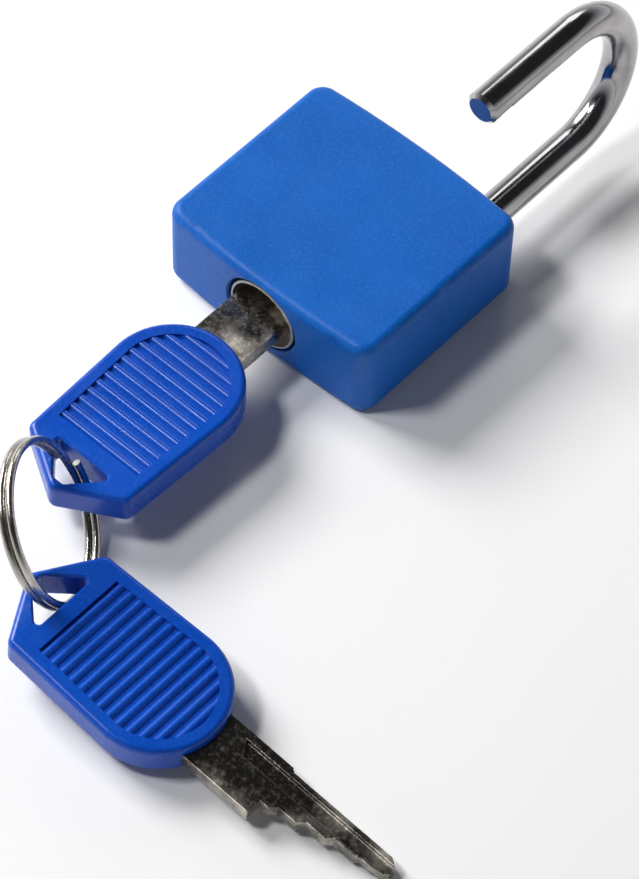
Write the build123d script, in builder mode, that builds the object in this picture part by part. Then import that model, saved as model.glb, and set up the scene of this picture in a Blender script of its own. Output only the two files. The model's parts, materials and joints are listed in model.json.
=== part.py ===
from build123d import *
import os
from math import cos, radians, sin

# Pin-tumbler padlock, 30 mm plastic jacket, lying on its back with the shackle open.
# X runs across the body, Y towards the shackle, Z up from the table.
# The origin is the centre of the jacket's back face.

# jacket
CASE_W = 30.0
CASE_L = 25.5
CASE_T = 11.5
CROWN = 0.7
CORNER_R = 2.2
EDGE_R = 1.1
SIDE_WALL = 1.15
FACE_WALL = 0.95
KEYHOLE_D = 10.0
BOSS_D = 9.3
BOSS_WALL = 0.3
BOSS_L = 2.0
ZC = CASE_T / 2
Y_END = CASE_L / 2 + CROWN

# lock block inside the jacket
BLOCK_Y0 = -11.2
BLOCK_Y1 = 10.4
BLOCK_W = CASE_W - 2 * SIDE_WALL
BLOCK_T = CASE_T - 2 * FACE_WALL
PLATE_T = 1.2
SCREW_X = 12.45
CAVITY_R = 0.8
CAP_Y0 = BLOCK_Y1 + PLATE_T

# cylinder plug
PLUG_D = 8.0
PLUG_FIT = 0.03
PLUG_Y1 = 4.5
WEB_Y1 = 5.8
JOURNAL_D = 4.0
JOURNAL_Y1 = 7.0
CLIP_Y0 = 5.9
CLIP_T = 0.5
CAM_T = 0.7
CAM_D = 5.6
CAM_PIN_D = 1.2
CAM_THROW = 1.5

# pin stacks
PIN_PITCH = 3.2
PIN_Y0 = -8.6
PIN_D = 1.8
PIN_FIT = 0.03
KEY_PIN_TOP = -3.88
DRIVER_X0 = -4.06
DRIVER_L = 3.0
COVER_T = 0.7
COVER_X0 = -BLOCK_W / 2 + COVER_T

# key
KEY_T = 1.8
BLADE_L = 15.0
SPINE_X = 3.1
BIT_X = -1.95
CUTS = [-1.2, -0.4, 0.3, 0.7]
TIP_X = 1.0
SHANK_L = 8.2
SHANK_X0 = -3.8
SHANK_X1 = 3.3
HEAD_R = 8.0
HEAD_END_X = 7.45
HEAD_T = 4.0
HEAD_L = 27.0
HEAD_Y1 = BLOCK_Y0 - SHANK_L
HEAD_Y0 = HEAD_Y1 - HEAD_L
TAPER_L = 4.4
BORDER = 1.65
RIB_PITCH = 1.38
RIB_COUNT = 13
RIB_R = 0.55
RIB_RISE = 0.32
PANEL_DEPTH = 0.4
HOLE_Y1 = HEAD_Y0 + 5.4

# shackle
WIRE_D = 4.0
LEG_X = 9.0
SWING = 85.0
LIFT = 7.0
BOW_Y = 28.4
TOE_Y = 13.5
FOOT_Y = 1.0
FOOT_L = 1.5
NECK_D = 2.5
NECK_Y1 = 11.3
LEG_BORE_D = 4.3
STOP_PIN_D = 1.5
STOP_PIN_X = 11.05
STOP_PIN_Y = 3.35

# bolt
BOLT_Y0 = 8.0
BOLT_H = 2.0
BOLT_NOSE_X = -8.3
BOLT_BACK_X = 3.0
BOLT_STEP_X = -5.6
BOLT_THROW = 2.12
NOSE_HALF = 1.25
BODY_HALF = 2.6

# ring and spare key
RING_R = 8.9
RING_WIRE = 0.9
RING_GAP = 0.05
RING_AT = (3.65, -50.0, 8.5)
RING_LEAN = (0.7236, 0.5291, 0.4432)
SPARE_AT = (51.65, -55.3, 1.3)
SPARE_TILT = 4.8

os.makedirs("parts", exist_ok=True)


def along_y(x, y, z=ZC):
    """Sketch plane facing +Y, for bores and shafts that run with the key."""
    return Plane(origin=(x, y, z), x_dir=(1, 0, 0), z_dir=(0, 1, 0))


def along_x(x, y, z=ZC):
    """Sketch plane facing -X, for the pin chambers."""
    return Plane(origin=(x, y, z), x_dir=(0, 1, 0), z_dir=(-1, 0, 0))


def save(builder, name):
    builder.part.label = name
    export_step(builder.part, f"parts/{name}.step")


def outer_body():
    """Crowned, rounded outside shape shared by the jacket and its cap."""
    half_w = CASE_W / 2
    half_l = CASE_L / 2
    with BuildPart() as body:
        with BuildSketch():
            with BuildLine():
                ThreePointArc((-half_w, half_l), (0, Y_END), (half_w, half_l))
                Line((half_w, half_l), (half_w, -half_l))
                ThreePointArc((half_w, -half_l), (0, -Y_END), (-half_w, -half_l))
                Line((-half_w, -half_l), (-half_w, half_l))
            make_face()
            fillet(vertices(), CORNER_R)
        extrude(amount=CASE_T)
        ends = faces().filter_by(Axis.Z)
        fillet(ends.edges(), EDGE_R)
    return body


# jacket: moulded shell, closed at the key end and open at the shackle end
case_outer = outer_body()
cavity_l = Y_END + 1 - BLOCK_Y0
with BuildPart() as case_jacket:
    add(case_outer.part)
    with BuildSketch(along_y(0, BLOCK_Y0)):
        RectangleRounded(BLOCK_W, BLOCK_T, CAVITY_R)
    extrude(amount=cavity_l, mode=Mode.SUBTRACT)
    with BuildSketch(along_y(0, -Y_END - 1)):
        Circle(KEYHOLE_D / 2)
    extrude(amount=5, mode=Mode.SUBTRACT)
    with Locations(Location((0, -Y_END + 0.2, ZC), (-90, 0, 0))):
        Cone(KEYHOLE_D / 2 + 0.3, KEYHOLE_D / 2 - 0.1, 0.6, mode=Mode.SUBTRACT)
save(case_jacket, "case_jacket")

# cap: closes the jacket behind the shackle, flush with its crowned end
with BuildPart() as top_cap:
    add(case_outer.part)
    with BuildSketch(along_y(0, CAP_Y0)):
        RectangleRounded(BLOCK_W - 0.1, BLOCK_T - 0.1, CAVITY_R)
    extrude(amount=5, mode=Mode.INTERSECT)
    with BuildSketch(along_y(0, CAP_Y0)):
        with Locations((-LEG_X, 0), (LEG_X, 0)):
            Circle(WIRE_D / 2 + 0.2)
    extrude(amount=5, mode=Mode.SUBTRACT)
    holes = faces().sort_by(Axis.Y)[-1].inner_wires()
    chamfer(holes.edges(), 0.3)
save(top_cap, "top_cap")

# block: die-cast metal body that carries the cylinder, bolt and shackle
pin_ys = [PIN_Y0 + PIN_PITCH * i for i in range(len(CUTS))]
cover_y0 = pin_ys[0] - 1.8
cover_y1 = pin_ys[-1] + 1.8
cover_half = 1.8
with BuildPart() as lock_block:
    with BuildSketch(along_y(0, BLOCK_Y0)):
        RectangleRounded(BLOCK_W, BLOCK_T, CAVITY_R)
    extrude(amount=BLOCK_Y1 - BLOCK_Y0)
    # collar that shows inside the jacket's keyhole
    with BuildSketch(along_y(0, BLOCK_Y0)):
        Circle(BOSS_D / 2)
    extrude(amount=-BOSS_L)
    chamfer(faces().sort_by(Axis.Y)[0].edges(), 0.1)
    # cylinder bore, web hole and cam chamber
    with BuildSketch(along_y(0, BLOCK_Y0 - BOSS_L)):
        Circle(BOSS_D / 2 - BOSS_WALL)
    extrude(amount=BOSS_L, mode=Mode.SUBTRACT)
    with BuildSketch(along_y(0, BLOCK_Y0)):
        Circle(PLUG_D / 2 + PLUG_FIT)
    extrude(amount=PLUG_Y1 + 0.1 - BLOCK_Y0, mode=Mode.SUBTRACT)
    with BuildSketch(along_y(0, PLUG_Y1)):
        Circle(JOURNAL_D / 2 + PLUG_FIT)
    extrude(amount=2, mode=Mode.SUBTRACT)
    with BuildSketch(along_y(0, WEB_Y1)):
        Circle(CAM_D / 2 + 0.3)
    extrude(amount=BLOCK_Y1 - WEB_Y1, mode=Mode.SUBTRACT)
    # bolt pocket and nose channel, open towards the top plate
    pocket_x0 = BOLT_STEP_X - 0.15
    pocket_x1 = 6.4
    with BuildSketch(along_y((pocket_x0 + pocket_x1) / 2, BOLT_Y0 - 0.05)):
        Rectangle(pocket_x1 - pocket_x0, 2 * BODY_HALF + 0.1)
    extrude(amount=BLOCK_Y1 - BOLT_Y0 + 1, mode=Mode.SUBTRACT)
    with BuildSketch(along_y((pocket_x0 - LEG_X) / 2, BOLT_Y0 - 0.05)):
        Rectangle(LEG_X + pocket_x0, 2 * NOSE_HALF + 0.1)
    extrude(amount=BLOCK_Y1 - BOLT_Y0 + 1, mode=Mode.SUBTRACT)
    # shackle bores: deep one for the long leg, short one for the toe
    with BuildSketch(along_y(LEG_X, -10.4)):
        Circle(LEG_BORE_D / 2)
    extrude(amount=25, mode=Mode.SUBTRACT)
    with BuildSketch(along_y(-LEG_X, TOE_Y - LIFT - 0.3)):
        Circle(LEG_BORE_D / 2)
    extrude(amount=10, mode=Mode.SUBTRACT)
    # pin chambers and the groove for their cover
    for y in pin_ys:
        with BuildSketch(along_x(-PLUG_D / 2 + 0.6, y)):
            Circle(PIN_D / 2 + PIN_FIT)
        extrude(amount=12, mode=Mode.SUBTRACT)
    with BuildSketch(along_x(COVER_X0, (cover_y0 + cover_y1) / 2)):
        Rectangle(cover_y1 - cover_y0, 2 * cover_half)
    extrude(amount=2, mode=Mode.SUBTRACT)
    # hole for the shackle stop pin and threaded holes for the plate screws
    with BuildSketch(Plane.XY):
        with Locations((STOP_PIN_X, STOP_PIN_Y)):
            Circle(STOP_PIN_D / 2)
    extrude(amount=CASE_T, mode=Mode.SUBTRACT)
    with BuildSketch(along_y(0, 6.9)):
        with Locations((-SCREW_X, 0), (SCREW_X, 0)):
            Circle(0.6)
    extrude(amount=5, mode=Mode.SUBTRACT)
save(lock_block, "lock_block")

with BuildPart() as top_plate:
    with BuildSketch(along_y(0, BLOCK_Y1)):
        RectangleRounded(BLOCK_W - 0.1, BLOCK_T - 0.1, CAVITY_R)
        with Locations((-LEG_X, 0), (LEG_X, 0)):
            Circle(LEG_BORE_D / 2, mode=Mode.SUBTRACT)
        with Locations((-SCREW_X, 0), (SCREW_X, 0)):
            Circle(0.65, mode=Mode.SUBTRACT)
    extrude(amount=PLATE_T)
    with BuildSketch(along_y(0, CAP_Y0)):
        with Locations((-SCREW_X, 0), (SCREW_X, 0)):
            Circle(1.05)
    extrude(amount=-0.7, mode=Mode.SUBTRACT)
save(top_plate, "top_plate")

with BuildPart() as top_plate_screws:
    for x in (-SCREW_X, SCREW_X):
        with BuildSketch(along_y(x, 7.2)):
            Circle(0.58)
        extrude(amount=CAP_Y0 - 0.7 - 7.2)
        with BuildSketch(along_y(x, CAP_Y0 - 0.7)):
            Circle(1.0)
        extrude(amount=0.65)
        with BuildSketch(along_y(x, CAP_Y0 - 0.05)):
            Rectangle(2.2, 0.35)
        extrude(amount=-0.3, mode=Mode.SUBTRACT)
save(top_plate_screws, "top_plate_screws")

with BuildPart() as shackle_retaining_pin:
    with BuildSketch(Plane.XY.offset(FACE_WALL + 0.05)):
        with Locations((STOP_PIN_X, STOP_PIN_Y)):
            Circle(STOP_PIN_D / 2)
    extrude(amount=BLOCK_T - 0.1)
    chamfer(edges().filter_by(GeomType.CIRCLE), 0.15)
save(shackle_retaining_pin, "shackle_retaining_pin")

with BuildPart() as chamber_cover:
    with BuildSketch(along_x(COVER_X0, (cover_y0 + cover_y1) / 2)):
        Rectangle(cover_y1 - cover_y0, 2 * cover_half)
    extrude(amount=COVER_T)
    chamfer(edges().filter_by(Axis.X), 0.2)
save(chamber_cover, "chamber_cover")

# pin stacks: key pins ride in the plug, drivers and springs in the block
for i, y in enumerate(pin_ys):
    floor_x = CUTS[i] - 0.04
    pin_l = floor_x - KEY_PIN_TOP
    with BuildPart() as key_pin:
        with BuildSketch(along_x(floor_x, y)):
            Circle(PIN_D / 2)
        extrude(amount=pin_l)
        chamfer(faces().sort_by(Axis.X)[-1].edges(), 0.6)
        chamfer(faces().sort_by(Axis.X)[0].edges(), 0.15)
    save(key_pin, f"key_pin_{i + 1}")

    with BuildPart() as driver_pin:
        with BuildSketch(along_x(DRIVER_X0, y)):
            Circle(PIN_D / 2)
        extrude(amount=DRIVER_L)
        chamfer(edges().filter_by(GeomType.CIRCLE), 0.15)
    save(driver_pin, f"driver_pin_{i + 1}")

    spring_x1 = DRIVER_X0 - DRIVER_L
    spring_l = spring_x1 - COVER_X0
    with BuildPart() as pin_spring:
        with BuildLine() as coil:
            Helix(
                pitch=(spring_l - 0.3) / 6,
                height=spring_l - 0.3,
                radius=0.65,
                center=(spring_x1 - 0.15, y, ZC),
                direction=(-1, 0, 0),
            )
        with BuildSketch(Plane(origin=coil.line @ 0, z_dir=coil.line % 0)):
            Circle(0.12)
        sweep(path=coil.line, is_frenet=True)
    save(pin_spring, f"pin_spring_{i + 1}")

# cylinder plug: keyway with one ward, pin holes, rear journal with a clip groove
keyway_x0 = BIT_X - 0.1
keyway_x1 = SPINE_X + 0.1
keyway_mid = (keyway_x0 + keyway_x1) / 2
keyway_l = BLADE_L + 0.25
with BuildPart() as cylinder_plug:
    with BuildSketch(along_y(0, BLOCK_Y0)):
        Circle(PLUG_D / 2)
    extrude(amount=PLUG_Y1 - BLOCK_Y0)
    chamfer(faces().sort_by(Axis.Y)[0].edges(), 0.25)
    with BuildSketch(along_y(0, PLUG_Y1)):
        Circle(JOURNAL_D / 2)
    extrude(amount=JOURNAL_Y1 - PLUG_Y1)
    with BuildSketch(along_y(keyway_mid, BLOCK_Y0)):
        Rectangle(keyway_x1 - keyway_x0, KEY_T + 0.1)
    extrude(amount=keyway_l, mode=Mode.SUBTRACT)
    for y in pin_ys:
        with BuildSketch(along_x(0, y)):
            Circle(PIN_D / 2 + PIN_FIT)
        extrude(amount=6, mode=Mode.SUBTRACT)
    with BuildSketch(along_y(1.65, BLOCK_Y0, ZC - 0.8)):
        Rectangle(0.7, 0.4)
    extrude(amount=keyway_l)
    with BuildSketch(along_y(0, CLIP_Y0 - 0.02)):
        Circle(JOURNAL_D)
        Circle(1.6, mode=Mode.SUBTRACT)
    extrude(amount=CLIP_T + 0.04, mode=Mode.SUBTRACT)
    # cross slot that drives the cam
    with BuildSketch(along_y(0, JOURNAL_Y1)):
        Rectangle(5, 1.2)
    extrude(amount=-0.5, mode=Mode.SUBTRACT)
save(cylinder_plug, "cylinder_plug")

with BuildPart() as plug_clip:
    with BuildSketch(along_y(0, CLIP_Y0)):
        Circle(2.75)
        Circle(1.65, mode=Mode.SUBTRACT)
        with Locations((0, 2)):
            Rectangle(2.4, 4, mode=Mode.SUBTRACT)
    extrude(amount=CLIP_T)
save(plug_clip, "plug_clip")

pin_off = CAM_THROW * sin(radians(45))
with BuildPart() as cam_tail:
    with BuildSketch(along_y(0, JOURNAL_Y1)):
        Circle(CAM_D / 2)
    extrude(amount=CAM_T)
    with BuildSketch(along_y(0, JOURNAL_Y1)):
        Rectangle(3.6, 1.16)
    extrude(amount=-0.48)
    with BuildSketch(along_y(-pin_off, JOURNAL_Y1 + CAM_T, ZC + pin_off)):
        Circle(CAM_PIN_D / 2)
    extrude(amount=2.2)
save(cam_tail, "cam_tail")

# bolt: slides across the block; its slot takes the cam's eccentric pin
with BuildPart() as bolt:
    with BuildSketch(along_y((BOLT_STEP_X + BOLT_BACK_X) / 2, BOLT_Y0)):
        Rectangle(BOLT_BACK_X - BOLT_STEP_X, 2 * BODY_HALF)
    extrude(amount=BOLT_H)
    with BuildSketch(along_y((BOLT_NOSE_X + BOLT_STEP_X) / 2, BOLT_Y0)):
        Rectangle(BOLT_STEP_X - BOLT_NOSE_X, 2 * NOSE_HALF)
    extrude(amount=BOLT_H)
    with BuildSketch(along_y(-pin_off, BOLT_Y0, ZC + 1.28)):
        Rectangle(CAM_PIN_D + 0.2, 2.0)
    extrude(amount=BOLT_H, mode=Mode.SUBTRACT)
    nose_edge = edges().filter_by(Axis.Z).sort_by(Axis.X)[0:2].sort_by(Axis.Y)[-1]
    chamfer(nose_edge, 0.8)
    with BuildSketch(Plane(origin=(BOLT_BACK_X, BOLT_Y0 + 1, ZC), z_dir=(1, 0, 0))):
        Circle(0.55)
    extrude(amount=0.8)
save(bolt, "bolt")

with BuildPart() as bolt_spring:
    with BuildLine() as coil:
        Helix(
            pitch=0.78,
            height=3.12,
            radius=0.8,
            center=(BOLT_BACK_X + 0.14, BOLT_Y0 + 1, ZC),
            direction=(1, 0, 0),
        )
    with BuildSketch(Plane(origin=coil.line @ 0, z_dir=coil.line % 0)):
        Circle(0.12)
    sweep(path=coil.line, is_frenet=True)
save(bolt_spring, "bolt_spring")

# shackle, drawn in its own plane and swung out of the body
swing_dir = (-cos(radians(SWING)), 0, sin(radians(SWING)))
bow_plane = Plane(
    origin=(LEG_X, 0, ZC),
    x_dir=swing_dir,
    z_dir=(-swing_dir[2], 0, swing_dir[0]),
)
toe_x = 2 * LEG_X
with BuildPart() as shackle:
    with BuildLine(bow_plane) as rod:
        Line((0, NECK_Y1), (0, BOW_Y))
        ThreePointArc((0, BOW_Y), (LEG_X, BOW_Y + LEG_X), (toe_x, BOW_Y))
        Line((toe_x, BOW_Y), (toe_x, TOE_Y))
    with BuildSketch(along_y(LEG_X, NECK_Y1)):
        Circle(WIRE_D / 2)
    sweep(path=rod.line)
    with BuildSketch(along_y(LEG_X, FOOT_Y + FOOT_L)):
        Circle(NECK_D / 2)
    extrude(amount=NECK_Y1 - FOOT_Y - FOOT_L)
    with BuildSketch(along_y(LEG_X, FOOT_Y)):
        Circle(WIRE_D / 2 - 0.05)
    extrude(amount=FOOT_L)
    toe_centre = bow_plane.from_local_coords((toe_x, TOE_Y, 0))
    toe_rim = edges().filter_by(GeomType.CIRCLE).sort_by_distance(toe_centre)[0]
    chamfer(toe_rim, 0.45)
    notch_y = BOLT_Y0 + BOLT_H / 2 + LIFT
    with BuildSketch(bow_plane):
        with Locations((toe_x - 1.55, notch_y)):
            Rectangle(2.0, 2.3)
    extrude(amount=WIRE_D, both=True, mode=Mode.SUBTRACT)
save(shackle, "shackle")

with BuildPart() as spring_cup:
    with BuildSketch(along_y(LEG_X, FOOT_Y - 0.85)):
        Circle(LEG_BORE_D / 2 - 0.15)
    extrude(amount=0.8)
    with BuildSketch(along_y(LEG_X, FOOT_Y - 0.85)):
        Circle(0.85)
    extrude(amount=-0.9)
save(spring_cup, "spring_cup")

coil_y0 = -10.2
coil_y1 = FOOT_Y - 1.05
with BuildPart() as shackle_spring:
    with BuildLine() as coil:
        Helix(
            pitch=(coil_y1 - coil_y0) / 7,
            height=coil_y1 - coil_y0,
            radius=1.5,
            center=(LEG_X, coil_y0, ZC),
            direction=(0, 1, 0),
        )
    with BuildSketch(Plane(origin=coil.line @ 0, z_dir=coil.line % 0)):
        Circle(0.18)
    sweep(path=coil.line, is_frenet=True)
save(shackle_spring, "shackle_spring")

# key blade: tang in the head, plain shank, stepped bitting that rises to the tip
tip_y = BLOCK_Y0 + BLADE_L
tang_y0 = HEAD_Y1 - 11
with BuildPart() as key_blade:
    with BuildSketch(Plane.XY.offset(ZC - KEY_T / 2)):
        with BuildLine():
            outline = [(SPINE_X, tip_y - 1.1)]
            outline += [(SPINE_X, BLOCK_Y0), (SHANK_X1, BLOCK_Y0)]
            outline += [(SHANK_X1, tang_y0), (SHANK_X0, tang_y0)]
            outline += [(SHANK_X0, BLOCK_Y0), (BIT_X, BLOCK_Y0)]
            previous = BIT_X
            for y, cut in zip(pin_ys, CUTS):
                outline += [(previous, y - 0.7 - (cut - previous)), (cut, y - 0.7), (cut, y + 0.7)]
                previous = cut
            outline += [(TIP_X, tip_y - 0.6), (TIP_X + 0.5, tip_y), (SPINE_X - 0.9, tip_y)]
            Polyline(*outline, close=True)
        make_face()
    extrude(amount=KEY_T)
    groove_y0 = BLOCK_Y0 - 4.6
    with BuildSketch(Plane.XY.offset(ZC - KEY_T / 2)):
        with BuildLine():
            Polyline(
                (0.6, groove_y0),
                (2.3, groove_y0 - 1.2),
                (2.3, tip_y + 1),
                (0.6, tip_y + 1),
                close=True,
            )
        make_face()
    extrude(amount=0.5, mode=Mode.SUBTRACT)
    # shallow step along the spine
    with BuildSketch(Plane.XY.offset(ZC - KEY_T / 2)):
        with Locations((SPINE_X, tip_y)):
            Rectangle(0.7, 2 * BLADE_L - 0.6)
    extrude(amount=0.35, mode=Mode.SUBTRACT)
    # two holes that lock the tang into the moulded head
    with BuildSketch(Plane.XY):
        with Locations((0, HEAD_Y1 - 4), (0, HEAD_Y1 - 8)):
            Circle(1.0)
    extrude(amount=CASE_T, mode=Mode.SUBTRACT)
save(key_blade, "key_blade")

# key head: rounded at the blade, pointed at the ring, ribbed grip panel on both faces
arc_y = HEAD_Y1 - HEAD_R
panel_r = HEAD_R - BORDER
panel_end_x = HEAD_END_X - BORDER
panel_y0 = HOLE_Y1 + 2.0
with BuildSketch() as grip_panel:
    with BuildLine():
        Line((-panel_r, arc_y), (-panel_end_x, panel_y0))
        Line((-panel_end_x, panel_y0), (panel_end_x, panel_y0))
        Line((panel_end_x, panel_y0), (panel_r, arc_y))
        ThreePointArc((panel_r, arc_y), (0, arc_y + panel_r), (-panel_r, arc_y))
    make_face()
rib_ys = [panel_y0 + 0.75 + RIB_PITCH * i for i in range(RIB_COUNT)]
with BuildPart() as grip_ribs:
    with Locations([(0, y, RIB_RISE - RIB_R) for y in rib_ys]):
        Cylinder(RIB_R, 2 * HEAD_R, rotation=(0, 90, 0))
    with BuildSketch():
        add(grip_panel.sketch)
    extrude(amount=1, mode=Mode.INTERSECT)
with BuildPart() as key_head:
    with BuildSketch(Plane.XY.offset(ZC - HEAD_T / 2)):
        with BuildLine():
            Line((HEAD_END_X, HEAD_Y0 + TAPER_L), (HEAD_R, arc_y))
            ThreePointArc((HEAD_R, arc_y), (0, HEAD_Y1), (-HEAD_R, arc_y))
            Line((-HEAD_R, arc_y), (-HEAD_END_X, HEAD_Y0 + TAPER_L))
            Line((-HEAD_END_X, HEAD_Y0 + TAPER_L), (0, HEAD_Y0))
            Line((0, HEAD_Y0), (HEAD_END_X, HEAD_Y0 + TAPER_L))
        make_face()
        point = vertices().group_by(Axis.Y)[0:2]
        fillet(point[0] + point[1], 1.1)
    extrude(amount=HEAD_T)
    fillet(faces().filter_by(Axis.Z).edges(), 0.7)
    with BuildSketch(Plane.XY.offset(ZC - HEAD_T)):
        with BuildLine():
            Polyline(
                (-4.4, HOLE_Y1),
                (4.4, HOLE_Y1),
                (0.7, HOLE_Y1 - 4.05),
                (-0.7, HOLE_Y1 - 4.05),
                close=True,
            )
        make_face()
        fillet(vertices(), 0.5)
    extrude(amount=2 * HEAD_T, mode=Mode.SUBTRACT)
    flats = faces().filter_by(Axis.Z)
    hole_rims = [flat.inner_wires()[0].edges() for flat in flats]
    chamfer(hole_rims[0] + hole_rims[1], 0.25)
    # recessed panel with rounded ribs standing in it, on the upper and lower face
    for side in (-1, 1):
        floor_z = ZC + side * (HEAD_T / 2 - PANEL_DEPTH)
        with BuildSketch(Plane.XY.offset(floor_z)):
            add(grip_panel.sketch)
        extrude(amount=side * 2, mode=Mode.SUBTRACT)
        with Locations(Location((0, 0, floor_z), (0, 90 - 90 * side, 0))):
            add(grip_ribs.part)
    add(key_blade.part, mode=Mode.SUBTRACT)
save(key_head, "key_head")

# spare key: the same key turned over, lying on the table with its ring end raised
turn = Location(SPARE_AT, (0, 0, 0)) * Rotation(0, SPARE_TILT, 0) * Rotation(0, 0, -90) * Rotation(0, 180, 0)
with BuildPart() as spare_key_blade:
    with Locations(turn):
        add(key_blade.part.moved(Location((0, 0, -ZC))))
save(spare_key_blade, "spare_key_blade")
with BuildPart() as spare_key_head:
    with Locations(turn):
        add(key_head.part.moved(Location((0, 0, -ZC))))
save(spare_key_head, "spare_key_head")

# split ring: two close coils through both key heads
ring_mid = Vector(*RING_AT)
ring_axis = Vector(*RING_LEAN).normalized()
ring_pitch = RING_WIRE + RING_GAP
with BuildPart() as split_ring:
    with BuildLine() as coil:
        Helix(
            pitch=ring_pitch,
            height=1.97 * ring_pitch,
            radius=RING_R,
            center=ring_mid - ring_axis * ring_pitch,
            direction=ring_axis,
        )
    with BuildSketch(Plane(origin=coil.line @ 0, z_dir=coil.line % 0)):
        Circle(RING_WIRE / 2)
    sweep(path=coil.line, is_frenet=True)
save(split_ring, "split_ring")
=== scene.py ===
import json
from math import cos, radians, sin

import bpy
from mathutils import Matrix, Vector


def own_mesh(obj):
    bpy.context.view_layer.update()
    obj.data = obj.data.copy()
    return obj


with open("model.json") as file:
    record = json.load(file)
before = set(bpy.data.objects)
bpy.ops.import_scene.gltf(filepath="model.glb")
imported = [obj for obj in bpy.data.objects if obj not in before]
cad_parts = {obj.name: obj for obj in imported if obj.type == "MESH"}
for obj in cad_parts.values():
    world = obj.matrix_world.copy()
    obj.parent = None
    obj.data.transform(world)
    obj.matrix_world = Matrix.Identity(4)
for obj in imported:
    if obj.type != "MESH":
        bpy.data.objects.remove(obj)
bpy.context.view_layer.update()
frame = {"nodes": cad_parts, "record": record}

# camera: angles in degrees, distance and target in metres
AZIMUTH = 40.72
ELEVATION = 54.99
ROLL = 2.0
DISTANCE = 0.45
LOOK_AT = (0.01328, -0.01811, 0.0)
LENS_MM = 168.45
SENSOR_MM = 36.0
NEAR_CLIP = 0.01

# floor, and the places the lights point at, in metres
FLOOR_HALF = 4.0
FLOOR_Z = -0.0001
LIT_SPOT = (0.012, -0.015, 0.0)
CASE_MIDDLE = (0.0, 0.0, 0.01)

# small bevel on the edges of the key blades
WELD_GAP = 0.000001
BLADE_EDGE = 0.00009
BLADE_EDGE_STEPS = 2
SHARP_ANGLE = 40


# ---------------------------------------------------------------- node helpers
class Nodes:
    """A material's node tree, with one short method for each node used here."""

    def __init__(self, name):
        self.mat = bpy.data.materials.new(name)
        self.mat.use_nodes = True
        self.tree = self.mat.node_tree
        self.tree.nodes.clear()
        self.out = self.tree.nodes.new("ShaderNodeOutputMaterial")
        self.shader = self.tree.nodes.new("ShaderNodeBsdfPrincipled")
        self.link(self.shader.outputs[0], self.out.inputs["Surface"])
        self.coord = self.tree.nodes.new("ShaderNodeTexCoord").outputs["Object"]

    def link(self, a, b):
        self.tree.links.new(a, b)

    def put(self, socket, value):
        if isinstance(value, bpy.types.NodeSocket):
            self.link(value, socket)
        else:
            socket.default_value = value

    def set(self, **values):
        for name, value in values.items():
            self.put(self.shader.inputs[name.replace("_", " ")], value)

    def scaled(self, x, y, z):
        node = self.tree.nodes.new("ShaderNodeMapping")
        node.inputs["Scale"].default_value = (x, y, z)
        self.link(self.coord, node.inputs["Vector"])
        return node.outputs[0]

    def noise(self, scale, detail=4.0, rough=0.55, vector=None, distortion=0.0):
        node = self.tree.nodes.new("ShaderNodeTexNoise")
        node.inputs["Scale"].default_value = scale
        node.inputs["Detail"].default_value = detail
        node.inputs["Roughness"].default_value = rough
        node.inputs["Distortion"].default_value = distortion
        self.link(vector or self.coord, node.inputs["Vector"])
        return node.outputs["Fac"]

    def ramp(self, value, stops):
        """Grey steps, given as (position, level) pairs."""
        node = self.tree.nodes.new("ShaderNodeValToRGB")
        for element, (at, level) in zip(node.color_ramp.elements, stops):
            element.position = at
            element.color = (level, level, level, 1.0)
        self.link(value, node.inputs[0])
        return node.outputs[0]

    def math(self, kind, a, b):
        node = self.tree.nodes.new("ShaderNodeMath")
        node.operation = kind
        self.put(node.inputs[0], a)
        self.put(node.inputs[1], b)
        return node.outputs[0]

    def mix(self, factor, a, b):
        node = self.tree.nodes.new("ShaderNodeMixRGB")
        self.put(node.inputs[0], factor)
        for socket, value in ((node.inputs[1], a), (node.inputs[2], b)):
            if not isinstance(value, bpy.types.NodeSocket):
                value = (*value, 1.0)
            self.put(socket, value)
        return node.outputs[0]

    def edge(self, low, high):
        """1 on outside edges and 0 elsewhere, for worn corners."""
        node = self.tree.nodes.new("ShaderNodeNewGeometry")
        return self.ramp(node.outputs["Pointiness"], [(low, 0.0), (high, 1.0)])

    def bump(self, height, strength, distance):
        node = self.tree.nodes.new("ShaderNodeBump")
        node.inputs["Strength"].default_value = strength
        node.inputs["Distance"].default_value = distance
        self.link(height, node.inputs["Height"])
        return node.outputs[0]


def paler(colour, gain, lift=0.0):
    """The same colour, brighter; no channel goes past 1."""
    return tuple(min(1, c * gain + lift) for c in colour)


# ---------------------------------------------------------------- materials
BARE_METAL = (0.86, 0.84, 0.8)


def moulded_blue(name, deep, light, rough, grain, grain_depth, shine):
    """Injection-moulded plastic with a spark-eroded grain and faint flow marks."""
    n = Nodes(name)
    tone = n.noise(scale=90, detail=3, rough=0.5)
    base = n.mix(n.ramp(tone, [(0.35, 0.0), (0.65, 1.0)]), deep, light)
    speck = n.ramp(n.noise(scale=2600, detail=2, rough=0.6), [(0.45, 0.0), (0.75, 1.0)])
    base = n.mix(n.math("MULTIPLY", speck, 0.30), base, paler(light, gain=1.5, lift=0.02))
    scuff = n.ramp(n.noise(scale=500, detail=4), [(0.45, 0.0), (0.7, 0.35)])
    paler_amount = n.math("MULTIPLY", n.edge(low=0.52, high=0.62), scuff)
    base = n.mix(paler_amount, base, paler(light, gain=1.5, lift=0.03))
    smear = n.noise(scale=160, detail=5, rough=0.6, distortion=0.6)
    fine = n.noise(scale=grain, detail=3, rough=0.7)
    coarse = n.noise(scale=grain * 0.3, detail=2, rough=0.5)
    both = n.math("ADD", fine, n.math("MULTIPLY", coarse, 0.6))
    n.set(
        Base_Color=base,
        Roughness=n.ramp(smear, [(0.3, rough - 0.06), (0.7, rough + 0.07)]),
        Specular_IOR_Level=shine,
        Normal=n.bump(both, strength=0.55, distance=grain_depth),
    )
    return n.mat


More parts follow.
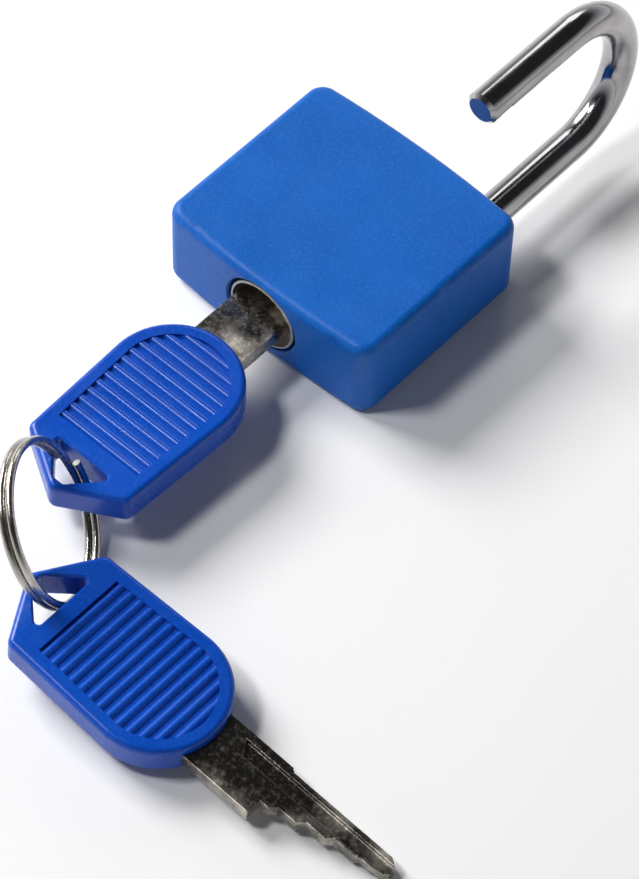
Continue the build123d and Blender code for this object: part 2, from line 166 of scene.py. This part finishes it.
def metal(name, dark, light, rough, scale, scratch=(1, 1, 1), depth=0.00001, wear=0.0):
    """Plain metal with stains, scratches stretched along one axis, and brighter edges."""
    n = Nodes(name)
    stain = n.ramp(n.noise(scale=220, detail=5, rough=0.6), [(0.32, 0.0), (0.68, 1.0)])
    base = n.mix(stain, dark, light)
    lines = n.noise(scale=scale, detail=5, rough=0.7, vector=n.scaled(*scratch))
    bright = n.ramp(lines, [(0.5, 0.0), (0.72, 0.35)])
    base = n.mix(bright, base, paler(light, gain=1.25))
    if wear:
        paler_amount = n.math("MULTIPLY", n.edge(low=0.51, high=0.6), wear)
        base = n.mix(paler_amount, base, BARE_METAL)
    n.set(
        Base_Color=base,
        Metallic=1.0,
        Roughness=n.ramp(lines, [(0.3, rough - 0.06), (0.7, rough + 0.1)]),
        Normal=n.bump(lines, strength=0.4, distance=depth),
    )
    return n.mat


def steel_tarnish_painted_highlights(name, dark, light):
    """Nickelled key steel: dark tarnish, darkened further as a painted dark reflection, with
    paler, rougher patches that are painted highlight streaks.
    """
    n = Nodes(name)
    # painted highlight: the paler patches and flecks stand in for light streaking along the
    # blade; the dark base is tarnish plus painted dark reflection
    highlight_patch = n.ramp(n.noise(scale=130, detail=5, rough=0.6), [(0.45, 0.0), (0.66, 0.85)])
    highlight_fleck = n.ramp(n.noise(scale=1900, detail=4, rough=0.7), [(0.48, 0.0), (0.66, 1.0)])
    paler_amount = n.math("ADD", highlight_patch, n.math("MULTIPLY", highlight_fleck, 0.30))
    lines = n.noise(scale=800, detail=4, rough=0.7, vector=n.scaled(1, 1, 0.3))
    n.set(
        Base_Color=n.mix(paler_amount, dark, light),
        Metallic=1.0,
        Roughness=n.ramp(paler_amount, [(0.0, 0.24), (1.0, 0.46)]),
        Normal=n.bump(lines, strength=0.4, distance=0.00001),
    )
    return n.mat


# scratches drawn out along one axis of the piece
ALONG_X = (0.1, 1, 1)
ALONG_Y = (1, 0.1, 1)
ALONG_Z = (1, 1, 0.1)

BRASS_DARK = (0.55, 0.37, 0.13)
BRASS_LIGHT = (0.76, 0.55, 0.25)
STEEL_DARK = (0.45, 0.45, 0.46)
STEEL_LIGHT = (0.62, 0.62, 0.63)

# one look for each material slot of the record
materials = {
    "blue_shell": moulded_blue(
        "blue_shell", (0.001, 0.090, 0.40), (0.002, 0.110, 0.46),
        rough=0.42, grain=3200, grain_depth=0.00005, shine=0.22),
    "blue_key": moulded_blue(
        "blue_key", (0.0003, 0.052, 0.38), (0.001, 0.068, 0.45),
        rough=0.27, grain=2400, grain_depth=0.00001, shine=0.36),
    "chrome_shackle": metal(
        "chrome_shackle", (0.35, 0.335, 0.345), (0.44, 0.425, 0.435),
        rough=0.12, scratch=(1, 0.05, 1), scale=900, depth=0.000003),
    # key steel: dark tarnish with painted dark reflection, and pale painted highlight streaks
    "key_steel": steel_tarnish_painted_highlights(
        "key_steel", (0.13, 0.12, 0.105), (0.80, 0.74, 0.65)),
    "ring_steel": metal(
        "ring_steel", (0.33, 0.31, 0.28), (0.6, 0.57, 0.52),
        rough=0.22, scale=700, wear=0.3),
    "plug_metal": metal(
        "plug_metal", (0.30, 0.20, 0.07), (0.56, 0.40, 0.16),
        rough=0.30, scale=600, depth=0.00002, wear=0.3),
    "zinc": metal(
        "zinc", (0.26, 0.26, 0.26), (0.42, 0.42, 0.42),
        rough=0.42, scale=350, depth=0.00003, wear=0.2),
    "zinc_cam": metal(
        "zinc_cam", (0.36, 0.36, 0.37), (0.5, 0.5, 0.52),
        rough=0.40, scale=350, depth=0.00003, wear=0.2),
    "steel_plate": metal(
        "steel_plate", STEEL_DARK, (0.6, 0.6, 0.61),
        rough=0.30, scratch=ALONG_X, scale=600, wear=0.3),
    "steel_screws": metal(
        "steel_screws", STEEL_DARK, STEEL_LIGHT,
        rough=0.28, scratch=(1, 0.2, 1), scale=600, wear=0.3),
    "steel_pin": metal(
        "steel_pin", STEEL_DARK, STEEL_LIGHT,
        rough=0.22, scratch=ALONG_Z, scale=600, wear=0.2),
    "steel_clip": metal(
        "steel_clip", (0.12, 0.12, 0.13), (0.25, 0.25, 0.26),
        rough=0.38, scale=500, wear=0.2),
    "spring_wire": metal(
        "spring_wire", (0.38, 0.38, 0.39), (0.6, 0.6, 0.61),
        rough=0.25, scale=800),
    "brass_pin": metal(
        "brass_pin", (0.58, 0.38, 0.13), (0.80, 0.58, 0.26),
        rough=0.24, scratch=ALONG_X, scale=700, wear=0.3),
    "brass_bolt": metal(
        "brass_bolt", BRASS_DARK, BRASS_LIGHT,
        rough=0.30, scratch=ALONG_X, scale=500, wear=0.3),
    "brass_cover": metal(
        "brass_cover", BRASS_DARK, BRASS_LIGHT,
        rough=0.32, scratch=ALONG_Y, scale=500, wear=0.3),
}

for part in frame["record"]["subparts"]:
    node = frame["nodes"][part["node"]]
    look = materials[part["material_slot"]]
    if not node.material_slots:
        node.data.materials.append(look)
    for slot in node.material_slots:
        slot.material = look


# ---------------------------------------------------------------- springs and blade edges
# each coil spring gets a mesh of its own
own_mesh(frame["nodes"]["shackle_spring"])
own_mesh(frame["nodes"]["bolt_spring"])

for name in ("key_blade", "spare_key_blade"):
    node = frame["nodes"][name]
    weld = node.modifiers.new("weld", "WELD")
    weld.merge_threshold = WELD_GAP
    rounded = node.modifiers.new("edges", "BEVEL")
    rounded.width = BLADE_EDGE
    rounded.segments = BLADE_EDGE_STEPS
    rounded.limit_method = "ANGLE"
    rounded.angle_limit = radians(SHARP_ANGLE)


# ---------------------------------------------------------------- floor
def flat_square(name, half, z):
    mesh = bpy.data.meshes.new(name)
    corners = [(-half, -half, z), (half, -half, z), (half, half, z), (-half, half, z)]
    mesh.from_pydata(corners, [], [(0, 1, 2, 3)])
    obj = bpy.data.objects.new(name, mesh)
    bpy.context.scene.collection.objects.link(obj)
    return obj


floor = flat_square("floor", FLOOR_HALF, FLOOR_Z)
paper = Nodes("floor_paper")
tone = paper.noise(scale=14, detail=3, rough=0.5)
paper.set(
    Base_Color=paper.mix(tone, (0.86, 0.86, 0.87), (0.90, 0.90, 0.90)),
    Roughness=0.75,
    Specular_IOR_Level=0.25,
)
floor.data.materials.append(paper.mat)


# ---------------------------------------------------------------- light
def softbox(name, at, target, size, watts, colour=(1, 1, 1)):
    """A rectangular area light at one place, turned to face another; size in metres."""
    light = bpy.data.lights.new(name, "AREA")
    light.shape = "RECTANGLE"
    light.size, light.size_y = size
    light.energy = watts
    light.color = colour
    obj = bpy.data.objects.new(name, light)
    obj.location = at
    obj.rotation_euler = (Vector(target) - Vector(at)).to_track_quat("-Z", "Y").to_euler()
    bpy.context.scene.collection.objects.link(obj)


softbox("key_light", at=(-0.56, -0.04, 0.44), target=LIT_SPOT,
        size=(0.34, 0.30), watts=6.0, colour=(1.0, 0.99, 0.98))
softbox("back_light", at=(-0.10, 0.15, 0.13), target=CASE_MIDDLE,
        size=(0.08, 0.08), watts=0.05)
softbox("rib_light", at=(-0.24, -0.26, 0.56), target=LIT_SPOT,
        size=(0.12, 0.10), watts=1.6, colour=(0.98, 0.99, 1.0))

# surroundings: pale at the horizon and below it, dark overhead
world = bpy.data.worlds.new("studio")
bpy.context.scene.world = world
world.use_nodes = True
tree = world.node_tree
back = tree.nodes["Background"]
sky = tree.nodes.new("ShaderNodeTexCoord")
axis = tree.nodes.new("ShaderNodeSeparateXYZ")
fade = tree.nodes.new("ShaderNodeValToRGB")
tree.links.new(sky.outputs["Generated"], axis.inputs[0])
tree.links.new(axis.outputs["Z"], fade.inputs[0])
tree.links.new(fade.outputs[0], back.inputs["Color"])
horizon, ceiling = fade.color_ramp.elements
horizon.position = 0.05
horizon.color = (0.85, 0.86, 0.88, 1)
ceiling.position = 0.52
ceiling.color = (0.03, 0.03, 0.032, 1)
back.inputs["Strength"].default_value = 1.0

# ---------------------------------------------------------------- camera
azimuth, elevation, roll = radians(AZIMUTH), radians(ELEVATION), radians(ROLL)
ahead = Vector((
    -sin(azimuth) * cos(elevation),
    cos(azimuth) * cos(elevation),
    -sin(elevation),
))
level = Vector((cos(azimuth), sin(azimuth), 0))
upward = level.cross(ahead)
right = cos(roll) * level + sin(roll) * upward
above = -sin(roll) * level + cos(roll) * upward
lens = bpy.data.cameras.new("camera")
lens.lens = LENS_MM
lens.sensor_width = SENSOR_MM
lens.clip_start = NEAR_CLIP
camera = bpy.data.objects.new("camera", lens)
bpy.context.scene.collection.objects.link(camera)
turn = Matrix((right, above, -ahead)).transposed().to_4x4()
camera.matrix_world = Matrix.Translation(Vector(LOOK_AT) - ahead * DISTANCE) @ turn
bpy.context.scene.camera = camera
bpy.context.scene.view_settings.view_transform = "Standard"
